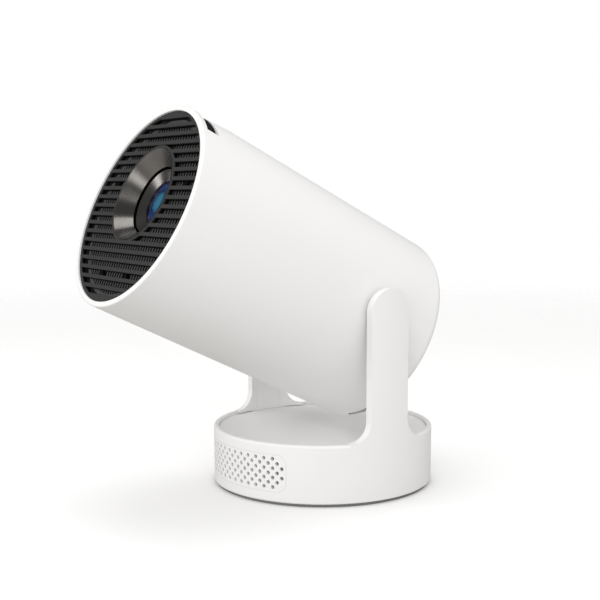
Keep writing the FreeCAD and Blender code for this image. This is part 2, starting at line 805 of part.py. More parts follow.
def build_speaker():
    plate = box("speaker_plate", ("speaker_width", "speaker_flange", "speaker_height"),
                ("0", "speaker_face + speaker_flange / 2", "speaker_centre"))
    can_size = ("speaker_width * speaker_can_share", "speaker_can_length", "speaker_height - speaker_flange")
    can = box("speaker_can", can_size,
              ("0", "speaker_face + speaker_flange + speaker_can_length / 2", "speaker_centre"))
    mouth = cylinder("speaker_mouth", "cone_mouth + focus_gap", "2 * cone_length",
                     ("0", "speaker_face - cone_length", "speaker_centre"), "y")
    bowl = cylinder("speaker_bowl", "cone_mouth + focus_gap", "cone_length + speaker_flange",
                    ("0", "speaker_face", "speaker_centre"), "y")
    node("speaker_frame", cut("speaker", fuse("speaker_solid", [plate, can]), [mouth, bowl]))
    cone_start = "speaker_face + cone_wall"
    outside = cone("speaker_cone_out", "cone_mouth", "cone_throat", "cone_length",
                   ("0", cone_start, "speaker_centre"), "y")
    inside = cone("speaker_cone_in", "cone_mouth", "cone_throat", "cone_length",
                  ("0", f"{cone_start} - cone_wall", "speaker_centre"), "y")
    node("speaker_cone", cut("speaker_cone_cut", outside, [inside]))
    can_back = "speaker_face + speaker_flange + speaker_can_length"
    magnet = cylinder("magnet", "magnet_radius", "cone_length", ("0", can_back, "speaker_centre"), "y")
    node("speaker_magnet", magnet)
    band = ring("cloth_band", "base_inner - cloth_gap", "base_inner - cloth_gap - cloth_thickness",
                "speaker_height", ("0", "0", "floor_top + cloth_thickness"))
    front = box("cloth_box", (f"2 * base_inner * sin({CLOTH_HALF_ANGLE})", "base_inner", "2 * rim_height"),
                ("0", "-base_inner", "rim_height / 2"))
    node("speaker_cloth", common("cloth", [band, front]))


# ================================================================ head
BRACKET_SCREWS = ("bracket_screw_reach", "-bracket_screw_reach")
REAR_SCREWS = on_ring("rear_screw_ring", (25, 155, 205, 335))
POST_SPOTS = on_ring("post_ring", (20, 160, 250, 290))
VENT_SPOTS = on_ring("vent_ring", (30, 150, 210, 270, 330))
CAM_ANGLES = (90, 210, 330)
GRILLE_ROWS = 20
MESH_SLOTS = 35
REAR_ROWS = 12
GRIP_GROOVES = 60
SINK_FINS = 15
FAN_BLADES = 7
PORTS = (
    ("picture_socket", "-12", "15.2", "6"),
    ("data_socket", "4", "13.4", "6"),
    ("sound_socket", "16", "6.6", "6"),
)


def through_hole(name, radius, x, y, middle):
    """A bore along the barrel that runs well past both faces."""
    return cylinder(name, radius, THROUGH, (x, y, f"{depth(middle)} - {THROUGH} / 2"))


def build_barrel_shell():
    ledge = "rear_cover_radius - rear_ledge"
    tube = turned("barrel_tube", [
        ("barrel_inner", depth("slot_end")),
        ("barrel_inner", depth("ledge_depth")),
        (ledge, depth("ledge_depth")),
        (ledge, depth("rear_depth")),
        ("rear_cover_radius + seam", depth("rear_depth")),
        ("rear_cover_radius + seam", "-rear_reach"),
        ("barrel_radius", "-rear_reach"),
        ("barrel_radius", "front_reach"),
        ("grille_radius + grille_gap", "front_reach"),
        ("grille_radius + grille_gap", depth("focus_slot_start")),
        ("relief_radius", depth("focus_slot_start")),
        ("relief_radius", depth("slot_end")),
    ])
    rounded(tube, "rear_round", lambda edge: is_circle(edge, "barrel_radius", "-rear_reach"))
    rounded(tube, "front_round", lambda edge: is_circle(edge, "barrel_radius", "front_reach"))
    bosses = []
    cuts = [slot_opening(), scoop()]
    for n, (x, y) in enumerate(REAR_SCREWS):
        bosses.append(cylinder(f"barrel_boss_{n}", "barrel_boss_radius", "barrel_boss_length",
                               (x, y, depth("rear_depth"))))
        cuts.append(cylinder(f"barrel_boss_bore_{n}", "screw_radius", "2 * barrel_boss_length",
                             (x, y, depth("rear_depth + barrel_boss_length / 2"))))
    for side, (axis, sign) in SIDES.items():
        cuts.append(cylinder(f"barrel_hole_{side}", "bush_radius + running_gap", "base_radius", axis=axis))
        for n, z in enumerate(BRACKET_SCREWS):
            cuts.append(cylinder(f"barrel_pilot_{side}_{n}", "screw_radius", "bracket_inner",
                                 (f"{sign} * short_screw_length", "0", z), axis))
    relief = ("board_width + port_relief_side", "port_relief_height", "rear_lip + port_relief_side / 2")
    cuts.append(box("barrel_port_gap", relief, ("0", "-board_drop - port_relief_drop",
                                                depth("rear_depth - rear_lip / 2"))))
    node("barrel_shell", cut("barrel", fuse("barrel_solid", [tube] + bosses), cuts), HEAD)


def slot_opening():
    """The window over the focus wheel, cut level at both ends."""
    low = "barrel_radius * cos(focus_slot_angle)"
    window = ring("slot_band", "2 * barrel_radius", "ring_outer", "focus_slot_width",
                  ("0", "0", depth("slot_end")))
    reach = box("slot_box", ("3 * barrel_radius", "barrel_radius", "focus_slot_width"),
                ("0", f"{low} + barrel_radius / 2", depth("(focus_slot_start + slot_end) / 2")))
    return common("slot_opening", [window, reach])


def scoop():
    """The thumb hollow behind the slot: all that lies outside a flatter cone, fading into the barrel."""
    length = "(scoop_length + scoop_lead)"
    low = depth("slot_end + scoop_length")
    block = box("scoop_block", ("3 * barrel_radius", "barrel_radius", length),
                ("0", "1.1 * barrel_radius", f"{low} + {length} / 2"))
    rear_radius = "scoop_radius + scoop_depth * scoop_rise"
    kept = cone("scoop_cone", rear_radius, "scoop_radius", length, ("0", "-scoop_drop", low))
    return cut("scoop", block, [kept])


def rows_of_slots(name, rows, width, reach, low, length):
    """Level slots, evenly spaced up and down the face."""
    slots = []
    for number in range(rows):
        rise = f"({number} - {(rows - 1) / 2}) * slot_pitch"
        slots.append(box(f"{name}_{number}", (f"2 * ({reach})", width, length),
                         ("0", rise, f"({low}) + ({length}) / 2")))
    return fuse(name + "_rows", slots)


def build_grille():
    disc = turned("grille_disc", disc_profile("grille_radius", depth("grille_back"), depth("grille_recess")))
    rows = rows_of_slots("grille_slot", GRILLE_ROWS, "slot_width", "grille_radius",
                         depth("grille_back + seam"), "grille_thickness + 2 * seam")
    field = through_hole("grille_field", "grille_radius - grille_margin", "0", "0", "grille_back")
    hub = through_hole("grille_hub", "lens_field_radius", "0", "lens_offset", "grille_back")
    openings = cut("grille_openings", common("grille_rows_in_field", [rows, field]), [hub])
    hole = through_hole("grille_lens_hole", "trim_front_radius + grille_gap", "0", "lens_offset",
                        "grille_back")
    posts = [
        cylinder(f"grille_post_{n}", "post_radius", "bulkhead_depth - grille_back + post_sink",
                 (x, y, depth("bulkhead_depth")))
        for n, (x, y) in enumerate(POST_SPOTS)
    ]
    node("front_grille", fuse("grille", [cut("grille_cut", disc, [openings, hole])] + posts), HEAD)


def build_mesh():
    mesh_radius = "ring_inner - focus_gap"
    mesh = turned("mesh_disc", disc_profile(mesh_radius, depth("mesh_depth + mesh_thickness"),
                                            depth("mesh_depth")))
    slots = []
    for number in range(MESH_SLOTS):
        across = f"({number} - {(MESH_SLOTS - 1) / 2}) * mesh_pitch"
        size = ("mesh_pitch - mesh_rib", "2 * ring_inner", "4 * mesh_thickness")
        slots.append(box(f"mesh_slot_{number}", size, (across, "0", depth("mesh_depth"))))
    field = through_hole("mesh_field", f"{mesh_radius} - mesh_margin", "0", "0", "mesh_depth")
    hub = through_hole("mesh_hub", "lens_field_radius - running_gap", "0", "lens_offset", "mesh_depth")
    in_field = common("mesh_slots_in_field", [fuse("mesh_slots", slots), field])
    cuts = [cut("mesh_openings", in_field, [hub])]
    cuts.append(through_hole("mesh_lens_hole", "trim_front_radius", "0", "lens_offset", "mesh_depth"))
    for n, (x, y) in enumerate(POST_SPOTS):
        cuts.append(through_hole(f"mesh_post_hole_{n}", "post_radius + grille_gap", x, y, "mesh_depth"))
    node("dust_mesh", cut("mesh", mesh, cuts), HEAD)


def build_trim():
    node("lens_trim_ring", turned("trim", [
        ("trim_front_radius", depth("trim_front_depth")),
        ("trim_front_radius", depth("grille_back")),
        ("trim_back_radius + trim_wall", depth("trim_depth")),
        ("trim_back_radius", depth("trim_depth")),
        ("trim_front_radius - trim_lip", depth("trim_front_depth")),
    ]), LENS)


def build_focus():
    wall = turned("ring_wall", tube_profile("ring_inner", "ring_outer", depth("ring_end"),
                                            depth("ring_start")))
    cams = []
    for n, angle in enumerate(CAM_ANGLES):
        cams.append(box(
            f"cam_slot_{n}",
            ("4 * focus_ring_wall", "2 * cam_half_length", "2 * (cam_pin_radius + cam_gap)"),
            (f"ring_middle * cos({angle})", f"ring_middle * sin({angle})", depth("pin_depth")),
            f"rotation({angle}; 0; -cam_slope)",
        ))
    node("focus_ring", cut("focus", wall, cams), HEAD)
    outer = "(relief_radius - focus_gap)"
    band = turned("grip_band", tube_profile("ring_outer", outer, depth("slot_end - focus_gap"),
                                            depth("focus_slot_start + focus_gap")))
    grooves = []
    for n, (x, y) in enumerate(on_ring(outer, [360 / GRIP_GROOVES * step for step in range(GRIP_GROOVES)])):
        grooves.append(through_hole(f"grip_groove_{n}", "grip_groove_radius", x, y, "slot_end"))
    node("focus_grip", cut("grip", band, grooves), HEAD)


def build_lens_group():
    tube = turned("lens_tube", tube_profile("lens_bore", "barrel_lens_radius",
                                            depth("engine_depth - lens_tube_short"), depth("nose_end")))
    key = box("lens_key", ("key_width", "key_width", "key_length"),
              ("0", "-barrel_lens_radius", depth("bulkhead_depth + key_length * key_share")))
    node("lens_barrel", fuse("lens_barrel_solid", [tube, key]), LENS)
    node("lens_nose_ring", turned("nose", [
        ("barrel_lens_radius", depth("nose_depth")),
        ("barrel_lens_radius", depth("nose_end")),
        ("nose_back_radius", depth("nose_end")),
        ("nose_back_radius", depth("nose_depth + nose_drop")),
    ]), LENS)
    lens("front_lens", "nose_back_radius", "front_lens_depth", "thin_lens", "front_lens_curve",
         "shallow_curve")
    lens("middle_lens", "lens_bore - running_gap", "middle_lens_depth", "thin_lens", "shallow_curve",
         "shallow_curve")
    lens("rear_lens", "lens_bore - running_gap", "rear_lens_depth", "thick_lens", "rear_lens_curve",
         "front_lens_curve")
    hub = ring("carrier_hub", "barrel_lens_radius + carrier_wall", "barrel_lens_radius", "carrier_thickness",
               ("0", "lens_offset", depth("carrier_depth + carrier_thickness")))
    arms = []
    for n, angle in enumerate(CAM_ANGLES):
        reach = "(ring_inner - 4 * focus_gap)"
        arms.append(box(f"carrier_arm_{n}", (reach, "carrier_arm_width", "carrier_thickness"),
                        (f"{reach} / 2 * cos({angle})", f"{reach} / 2 * sin({angle})", depth("pin_depth")),
                        f"rotation({angle}; 0; 0)"))
        pin = doc.addObject("Part::Cylinder", f"cam_pin_{n}")
        pin.setExpression("Radius", formula("cam_pin_radius"))
        pin.setExpression("Height", formula("3 * focus_ring_wall"))
        outwards = f"placement(vector(0; 0; ring_outer - 3 * focus_ring_wall - running_gap * 4); {NO_TURN})"
        pin.setExpression("Placement", formula(
            f"placement(vector(0; 0; {depth('pin_depth')}); rotation({angle}; 90; 0)) * {outwards}"))
        arms.append(pin)
    bore = through_hole("carrier_bore", "barrel_lens_radius", "0", "lens_offset", "carrier_depth")
    node("lens_carrier", cut("carrier_cut", fuse("carrier_solid", [hub] + arms), [bore]), HEAD)


def lens(name, radius, front_depth, thickness, front_radius, back_radius):
    """A lens thickest on its axis: two spheres and its ground edge."""
    front = sphere(name + "_front", front_radius, ("0", "0", f"{depth(front_depth)} - {front_radius}"))
    back = sphere(name + "_back", back_radius,
                  ("0", "0", f"{depth(front_depth)} - {thickness} + {back_radius}"))
    edge = through_hole(name + "_edge", radius, "0", "0", front_depth)
    node(name, common(name + "_solid", [front, back, edge]), LENS)


def lens_frame_at(depth_text):
    """The lens frame moved along the axis to this depth."""
    return f"{LENS} * placement(vector(0; 0; {depth(depth_text)}); {NO_TURN})"


def build_bulkhead():
    front = depth("bulkhead_depth - 4 * seam")
    flange_front = depth("engine_depth - mount_flange_thickness")
    mount = turned("mount", [
        ("mount_bore", front),
        ("barrel_lens_radius + mount_wall", front),
        ("barrel_lens_radius + mount_wall", flange_front),
        ("barrel_lens_radius + mount_flange", flange_front),
        ("barrel_lens_radius + mount_flange", depth("engine_depth")),
        ("mount_bore", depth("engine_depth")),
    ])
    keyway = box("mount_keyway", ("key_width + 2 * key_gap", "key_width + 8 * key_gap", "4 * key_length"),
                 ("0", "-barrel_lens_radius", depth("bulkhead_depth + mount_length / 2")))
    node("lens_mount", cut("mount_cut", mount, [keyway]), LENS)
    disc = turned("bulkhead_disc", disc_profile("barrel_inner - grille_gap",
                                                depth("bulkhead_depth + bulkhead_thickness"),
                                                depth("bulkhead_depth")))
    cuts = [through_hole("bulkhead_hole", "barrel_lens_radius + mount_wall", "0", "lens_offset",
                         "bulkhead_depth")]
    for n, (x, y) in enumerate(VENT_SPOTS):
        cuts.append(through_hole(f"bulkhead_vent_{n}", "vent_radius", x, y, "bulkhead_depth"))
    node("bulkhead", cut("bulkhead_cut", disc, cuts), HEAD)


def build_engine():
    outer = padded("engine_outside", rectangle("engine_wide", "engine_tall"), "engine_length")
    place(outer, ("0", "0", depth("engine_depth + engine_length")))
    inner_wide = "engine_wide - 2 * engine_wall"
    inner_tall = "engine_tall - 2 * engine_wall"
    inner = box("engine_inside", (inner_wide, inner_tall, "engine_length"),
                ("0", "0", depth("engine_depth + engine_wall + engine_length / 2")))
    mouth = cylinder("engine_mouth", "barrel_lens_radius", "4 * engine_wall",
                     ("0", "0", depth("engine_depth + 2 * engine_wall")))
    node("optical_housing", cut("engine", outer, [inner, mouth]), LENS)
    plates = (
        ("front_field_lens", "panel_depth - field_lens_lead", "field_lens_thickness"),
        ("display_panel", "panel_depth", "panel_thickness"),
        ("rear_field_lens", "panel_depth + field_lens_lag", "field_lens_thickness"),
    )
    for name, start, thick in plates:
        sheet_piece = padded(name + "_sheet", rectangle(f"{inner_wide} - 2 * panel_gap",
                                                        f"{inner_tall} - 2 * panel_gap"), thick)
        node(name, sheet_piece, lens_frame_at(f"{start} + {thick}"))
    throat = depth("light_depth - light_gap")
    node("light_funnel", turned("funnel", [
        ("funnel_mouth", depth("funnel_depth")),
        ("funnel_mouth + funnel_wall", depth("funnel_depth")),
        ("funnel_throat + funnel_wall", throat),
        ("funnel_throat", throat),
    ]), LENS)
    lens("condenser_lens", "funnel_throat - 3 * focus_gap", "light_depth - condenser_reach",
         "condenser_thickness", "condenser_curve", "shallow_curve")
    board = padded("light_board_sheet", rectangle("light_board_width", "light_board_width"),
                   "board_thickness")
    chip = box("light_chip", ("chip_width", "chip_width", "chip_height"),
               ("0", "0", "board_thickness + chip_height / 2"))
    node("light_board", fuse("light_board_solid", [board, chip]),
         lens_frame_at("light_depth + board_thickness"))


def build_heat_sink():
    base = box("sink_plate", ("sink_width", "sink_height", "sink_base"),
               ("0", "0", depth("sink_depth + sink_base / 2")))
    board_back = "light_depth + board_thickness"
    root = "sink_depth + seam * 4"
    pedestal = box("sink_pedestal", ("pedestal_width", "pedestal_width", f"{root} - ({board_back})"),
                   ("0", "lens_offset", depth(f"({root} + {board_back}) / 2")))
    root = "sink_depth + sink_base - seam * 4"
    fin_size = ("fin_thickness", "sink_height", f"sink_depth + sink_length - ({root})")
    fin_middle = depth(f"({root} + sink_depth + sink_length) / 2")
    fins = [
        box(f"sink_fin_{n}", fin_size, (f"({n} - {(SINK_FINS - 1) / 2}) * fin_pitch", "0", fin_middle))
        for n in range(SINK_FINS)
    ]
    node("heat_sink", fuse("sink", [base, pedestal] + fins), HEAD)


def build_fan():
    frame = padded("fan_block", rectangle("fan_size", "fan_size"), "fan_length")
    place(frame, ("0", "0", depth("fan_end")))
    cuts = [through_hole("fan_duct", "fan_bore", "0", "0", "fan_end")]
    for n, (x, y) in enumerate((("1", "1"), ("-1", "1"), ("1", "-1"), ("-1", "-1"))):
        cuts.append(through_hole(f"fan_bolt_hole_{n}", "fan_bolt_radius", f"{x} * fan_bolt_reach",
                                 f"{y} * fan_bolt_reach", "fan_end"))
    frame_solid = cut("fan_frame_cut", frame, cuts)
    hub = cylinder("fan_base", "fan_hub_radius", "fan_plate", ("0", "0", depth("fan_end")))
    seat = cylinder("fan_bearing", "fan_bearing_radius", "fan_bearing_length", ("0", "0", depth("fan_end")))
    shaft_bore = through_hole("fan_shaft_bore", "fan_shaft_radius + running_gap", "0", "0", "fan_end")
    bearing = cut("fan_hub", fuse("fan_hub_solid", [hub, seat]), [shaft_bore])
    inner = "(fan_hub_radius - fan_wall)"
    outer = "(fan_bore + fan_wall / 2)"
    spokes = [
        box(f"fan_spoke_{n}", (f"{outer} - {inner}", "fan_spoke_width", "fan_plate"),
            (x, y, depth("fan_end - fan_plate / 2")), f"rotation({angle}; 0; 0)")
        for n, angle in enumerate((45, 135, 225, 315))
        for x, y in on_ring(f"({outer} + {inner}) / 2", (angle,))
    ]
    node("fan_frame", fuse("fan_frame_solid", [frame_solid, bearing] + spokes), HEAD)
    cup = turned("rotor", [
        ("0", depth("fan_end - fan_plate / 2")),
        ("fan_shaft_radius", depth("fan_end - fan_plate / 2")),
        ("fan_shaft_radius", depth("fan_depth + 2.5 * rotor_wall")),
        ("rotor_radius - rotor_wall", depth("fan_depth + 2.5 * rotor_wall")),
        ("rotor_radius - rotor_wall", depth("fan_end - 1.5 * fan_plate")),
        ("rotor_radius", depth("fan_end - 1.5 * fan_plate")),
        ("rotor_radius", depth("fan_depth + rotor_wall")),
        ("0", depth("fan_depth + rotor_wall")),
    ])
    root = "(rotor_radius - rotor_wall / 2)"
    blades = []
    for n in range(FAN_BLADES):
        angle = 360 / FAN_BLADES * n
        [(x, y)] = on_ring(f"(blade_tip + {root}) / 2", (angle,))
        blades.append(box(f"fan_blade_{n}", (f"blade_tip - {root}", "blade_width", "blade_thickness"),
                          (x, y, depth("fan_depth + blade_width / 2")), f"rotation({angle}; 0; blade_twist)"))
    sweep = cylinder("fan_sweep", "blade_tip", "fan_length - 2.5 * fan_plate",
                     ("0", "0", depth("fan_end - 2 * fan_plate")))
    swept = common("fan_blades", [fuse("fan_blade_set", blades), sweep])
    node("fan_rotor", fuse("rotor_solid", [cup, swept]), HEAD)


def port_middle(tall):
    return f"-board_drop - board_thickness - {tall} / 2"


def build_boards():
    length = "(rear_depth - board_start)"
    board = padded("logic", rectangle("board_width", length), "board_thickness", "XZ_Plane")
    node("main_board", board,
         f"{HEAD} * placement(vector(0; -board_drop; {depth(f'board_start + {length} / 2')}); {NO_TURN})")
    shield = box("shield", ("shield_width", "shield_height", "shield_length"),
                 ("0", "shield_height / 2 - board_drop", depth("shield_depth")))
    inside = box("shield_inside", ("shield_width - 2 * shield_wall", "shield_height",
                                   "shield_length - 2 * shield_wall"),
                 ("0", "shield_height / 2 - board_drop - shield_wall", depth("shield_depth")))
    node("board_shield", cut("shield_cut", shield, [inside]), HEAD)
    for name, x, width, tall in PORTS:
        middle = port_middle(tall)
        face = "rear_depth + 4 * seam"
        body = box(name + "_body", (width, tall, "port_length"),
                   (x, middle, depth(f"{face} - port_length / 2")))
        if name == "sound_socket":
            mouth = cylinder(name + "_mouth", "sound_jack_radius", "port_length",
                             (x, middle, depth(f"{face} + 2 * port_wall")))
        else:
            hollow = (f"{width} - 2 * port_wall", f"{tall} - 2 * port_wall", "port_length")
            mouth_depth = depth(f"{face} + 2 * port_wall - port_length / 2")
            mouth = box(name + "_mouth", hollow, (x, middle, mouth_depth))
        node(name, cut(name + "_cut", body, [mouth]), HEAD)


def button_frame():
    return f"{HEAD} * placement(vector(0; button_height; 0); {NO_TURN})"


def build_rear():
    disc = turned("rear_disc", disc_profile("rear_cover_radius", depth("rear_face"), depth("rear_depth")))
    rounded(disc, "rear_cover_round", lambda edge: is_circle(edge, "rear_cover_radius", depth("rear_face")))
    rows = rows_of_slots("rear_slot", REAR_ROWS, "rear_slot_width", "rear_cover_radius",
                         depth("rear_face + seam"), "rear_cover_thickness + 2 * seam")
    field = through_hole("rear_field", "fan_bore", "0", "0", "rear_depth")
    cuts = [common("rear_openings", [rows, field])]
    for name, x, width, tall in PORTS:
        size = (f"{width} + 2 * port_gap", f"{tall} + 2 * port_gap", "port_length")
        cuts.append(box(name + "_opening", size, (x, port_middle(tall), depth("rear_depth"))))
    cuts.append(through_hole("rear_button_hole", "button_radius + button_gap + light_ring_wall", "0",
                             "button_height", "rear_depth"))
    screws = []
    for n, (x, y) in enumerate(REAR_SCREWS):
        cuts.append(through_hole(f"rear_screw_hole_{n}", "screw_hole_radius", x, y, "rear_depth"))
        cuts.append(cylinder(f"rear_screw_sink_{n}", "screw_head_radius + head_gap", "2 * screw_head_height",
                             (x, y, depth("rear_face + screw_head_height"))))
        screws.append(screw(f"rear_screw_{n}", (x, y, depth("rear_face")), "z"))
    node("rear_cover", cut("rear", disc, cuts), HEAD)
    return screws


def build_button():
    ring_inside = "button_radius + button_gap"
    light = turned("light_ring_profile", tube_profile(ring_inside, f"{ring_inside} + light_ring_wall",
                                                      depth("rear_face"), depth("rear_depth")))
    node("light_ring", light, button_frame())
    front = depth("rear_depth - 2 * button_gap")
    outer = depth("rear_face + button_proud")
    cap = turned("button_cap", [
        ("0", outer),
        ("button_radius", outer),
        ("button_radius", front),
        ("button_stem", front),
        ("button_stem", depth("stem_end")),
        ("0", depth("stem_end")),
    ])
    rounded(cap, "rear_cover_round", lambda edge: is_circle(edge, "button_radius", outer))
    node("power_button", cap, button_frame())
    switch = box("switch", ("switch_width", "switch_width", "switch_height"),
                 ("0", "button_height", depth("switch_top - switch_height / 2")))
    small_board = box("switch_board", ("2.5 * switch_width", "1.5 * switch_width", "board_thickness"),
                      ("0", "button_height", depth("switch_top - switch_height - board_thickness / 2")))
    node("button_switch", fuse("switch_solid", [switch, small_board]), HEAD)


def build_head_hinges(screws):
    bushes = []
    for side, (axis, sign) in SIDES.items():
        leaf = box(f"bracket_{side}_leaf", ("bracket_thickness", "2 * bracket_half_height", "bracket_length"),
                   (f"{sign} * (bracket_inner + bracket_thickness / 2)", "0", "0"))
        cuts = [cylinder(f"bracket_{side}_hole", "bush_radius", "base_radius", ("0", "0", "0"), axis)]
        for n, z in enumerate(BRACKET_SCREWS):
            cuts.append(cylinder(f"bracket_{side}_screw_hole_{n}", "screw_hole_radius", "base_radius",
                                 ("0", "0", z), axis))
            screws.append(screw(f"bracket_{side}_screw_{n}",
                                (f"{sign} * (bracket_inner - screw_head_height)", "0", z), axis,
                                "short_screw_length"))
        node(f"hinge_bracket_{side}", cut(f"bracket_{side}", leaf, cuts), HEAD)
        bore = "pin_radius + running_gap"
        sleeve = ring(f"bush_{side}_sleeve", "bush_radius", bore, "flange_end - bush_start",
                      (f"{sign} * bush_start", "0", "0"), axis)
        flange = ring(f"bush_{side}_flange", "pin_radius + bush_flange_wall", bore, "bush_flange_thickness",
                      (f"{sign} * (flange_end - bush_flange_thickness)", "0", "0"), axis)
        bushes.append(fuse(f"bush_{side}", [sleeve, flange]))
    node("hinge_bushes", group("bush_set", bushes), HEAD)
    node("head_screws", group("head_screw_set", screws), HEAD)


build_stand_shell()
build_stand_covers()
build_underside()
build_hinges()
build_power_supply()
build_inlet()
build_speaker()
build_barrel_shell()
build_grille()
build_mesh()
build_trim()
build_focus()
build_lens_group()
build_bulkhead()
build_engine()
build_heat_sink()
build_fan()
build_boards()
rear_screws = build_rear()
build_button()
build_head_hinges(rear_screws)
doc.recompute()

# ---------------------------------------------------------------- checks and files
faults = [item.Name for item in doc.Objects if "Invalid" in item.State or "Error" in item.State]
for piece in nodes:
    if piece.Shape.isNull() or not piece.Shape.isValid() or not piece.Shape.Solids:
        faults.append(piece.Label)
if faults:
    raise RuntimeError("not built: " + ", ".join(faults))
os.makedirs("parts", exist_ok=True)
for piece in nodes:
    piece.Shape.exportStep(f"parts/{piece.Label}.step")
print(len(nodes), "parts written")
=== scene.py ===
import json
import math

import bmesh
import bpy
from mathutils import Matrix, Vector

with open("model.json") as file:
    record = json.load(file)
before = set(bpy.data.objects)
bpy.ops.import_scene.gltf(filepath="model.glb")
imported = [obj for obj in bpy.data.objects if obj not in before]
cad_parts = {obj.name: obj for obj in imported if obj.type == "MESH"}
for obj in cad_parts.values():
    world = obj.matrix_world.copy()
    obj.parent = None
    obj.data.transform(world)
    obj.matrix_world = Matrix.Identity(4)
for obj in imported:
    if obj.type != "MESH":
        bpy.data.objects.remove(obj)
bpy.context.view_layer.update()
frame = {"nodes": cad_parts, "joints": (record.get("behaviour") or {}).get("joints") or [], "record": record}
NODES = frame["nodes"]
JOINTS = {joint["name"]: joint for joint in frame["joints"]}
SLOT_OF = {entry["node"]: entry["material_slot"] for entry in frame["record"]["subparts"]}

# ---------------------------------------------------------------- places taken from the frame
PIVOT = Vector(JOINTS["head_tilt"]["pos_m"])
FORWARD = Vector(JOINTS["focus_turn"]["axis"]).normalized()
UP = Vector((1, 0, 0)).cross(-FORWARD).normalized()
HEAD = Matrix.Translation(PIVOT) @ Matrix((Vector((1, 0, 0)), UP, FORWARD)).transposed().to_4x4()


def head_box(node):
    """Lowest and highest corner of a node in the head frame: X across, Y up, Z forward."""
    inverse = HEAD.inverted()
    points = [inverse @ vertex.co for vertex in NODES[node].data.vertices]
    low = Vector([min(point[axis] for point in points) for axis in range(3)])
    high = Vector([max(point[axis] for point in points) for axis in range(3)])
    return low, high


TRIM_LOW, TRIM_HIGH = head_box("lens_trim_ring")
LENS_RISE = (TRIM_LOW.y + TRIM_HIGH.y) / 2
LENS = HEAD @ Matrix.Translation((0, LENS_RISE, 0))
GRILLE_FACE = head_box("front_grille")[1].z
MESH_FACE = head_box("dust_mesh")[1].z


# ---------------------------------------------------------------- looks: metres, degrees and linear tones
WHITE = 0.84
WHITE_WARMTH = 0.004
# Depths over which the grille's and the mesh's slots darken to painted shade.
SLOT_PAINTED_SHADE_FADE = 0.0012
MESH_PAINTED_SHADE_FADE = 0.0004
# Reach of the lens's painted reflection and painted shade rings.
LENS_PAINTED_RING_REACH = 0.0123
SCORE_HALF_ANGLE = 36.5
SCORE_LOW = 0.0065
SCORE_HIGH = 0.025
SCORE_CORNER = 0.005
SCORE_CORE = 0.0001
SCORE_EDGE = 0.0004
SCORE_TONE = 0.75

# ---------------------------------------------------------------- stage and lights
FLOOR_RADIUS = 1.4
FLOOR_TONE = 0.93
FLOOR_BOUNCE = 0.45
BOUNCE_WARMTH = 0.03
FILL = 0.95
GLOSSY_FILL = 0.16

# ---------------------------------------------------------------- camera
AZIMUTH = math.radians(54.45)
ELEVATION = math.radians(9.54)
DISTANCE = 0.569
AIM = Vector((0, 0, 0.0557))
FOCAL = 65.5
SHIFT = (-0.0377, 0.1228)


# ---------------------------------------------------------------- node helpers
class Recipe:
    """A material under construction: short calls for the nodes it needs."""

    def __init__(self, name):
        self.material = bpy.data.materials.new(name)
        self.material.use_nodes = True
        self.tree = self.material.node_tree
        self.shader = self.tree.nodes["Principled BSDF"]

    def node(self, kind, **settings):
        made = self.tree.nodes.new(kind)
        for key, value in settings.items():
            if key in made.inputs:
                made.inputs[key].default_value = value
            else:
                setattr(made, key, value)
        return made

    def link(self, source, target):
        self.tree.links.new(source, target)

    def set(self, **sockets):
        for key, value in sockets.items():
            self.shader.inputs[key.replace("_", " ")].default_value = value
        return self

    def coordinates(self, matrix=None):
        """Object coordinates, in another frame if one is given."""
        place = self.node("ShaderNodeTexCoord").outputs["Object"]
        if matrix is None:
            return place
        inverse = matrix.inverted()
        mapping = self.node("ShaderNodeMapping")
        mapping.inputs["Location"].default_value = inverse.to_translation()
        mapping.inputs["Rotation"].default_value = inverse.to_euler()
        self.link(place, mapping.inputs["Vector"])
        return mapping.outputs["Vector"]

    def parts(self, place):
        """The three parts of a vector."""
        made = self.node("ShaderNodeSeparateXYZ")
        self.link(place, made.inputs[0])
        return made.outputs

    def length(self, vector):
        made = self.node("ShaderNodeVectorMath", operation="LENGTH")
        self.link(vector, made.inputs[0])
        return made.outputs["Value"]

    def from_axis(self, place):
        """Distance from the Z axis of the frame that the place is in."""
        parts = self.parts(place)
        flat = self.node("ShaderNodeCombineXYZ")
        self.link(parts["X"], flat.inputs["X"])
        self.link(parts["Y"], flat.inputs["Y"])
        return self.length(flat.outputs[0])

    def noise(self, place, scale, detail=3.0, roughness=0.5):
        made = self.node("ShaderNodeTexNoise", Scale=scale, Detail=detail, Roughness=roughness)
        self.link(place, made.inputs["Vector"])
        return made.outputs["Fac"]

    def spread(self, source, low, high):
        """A 0 to 1 value spread between two others."""
        made = self.node("ShaderNodeMapRange")
        made.inputs["To Min"].default_value = low
        made.inputs["To Max"].default_value = high
        self.link(source, made.inputs["Value"])
        return made.outputs["Result"]

    def mix(self, factor, first, second):
        """A colour between two, by a 0 to 1 value."""
        made = self.node("ShaderNodeMix", data_type="RGBA")
        self.link(factor, made.inputs["Factor"])
        for socket, colour in ((made.inputs[6], first), (made.inputs[7], second)):
            if isinstance(colour, tuple):
                socket.default_value = colour
            else:
                self.link(colour, socket)
        return made.outputs[2]

    def math(self, operation, first, second=0.0):
        made = self.node("ShaderNodeMath", operation=operation)
        for socket, value in zip(made.inputs, (first, second)):
            if isinstance(value, (int, float)):
                socket.default_value = value
            else:
                self.link(value, socket)
        return made.outputs[0]

    def bump(self, height, strength, distance, below=None):
        made = self.node("ShaderNodeBump", Strength=strength, Distance=distance)
        self.link(height, made.inputs["Height"])
        if below is not None:
            self.link(below, made.inputs["Normal"])
        return made.outputs["Normal"]


def tone(value, warm=0.0):
    """A near-neutral colour; warm tips it towards red and away from blue."""
    return (value * (1 + warm), value, value * (1 - warm), 1.0)


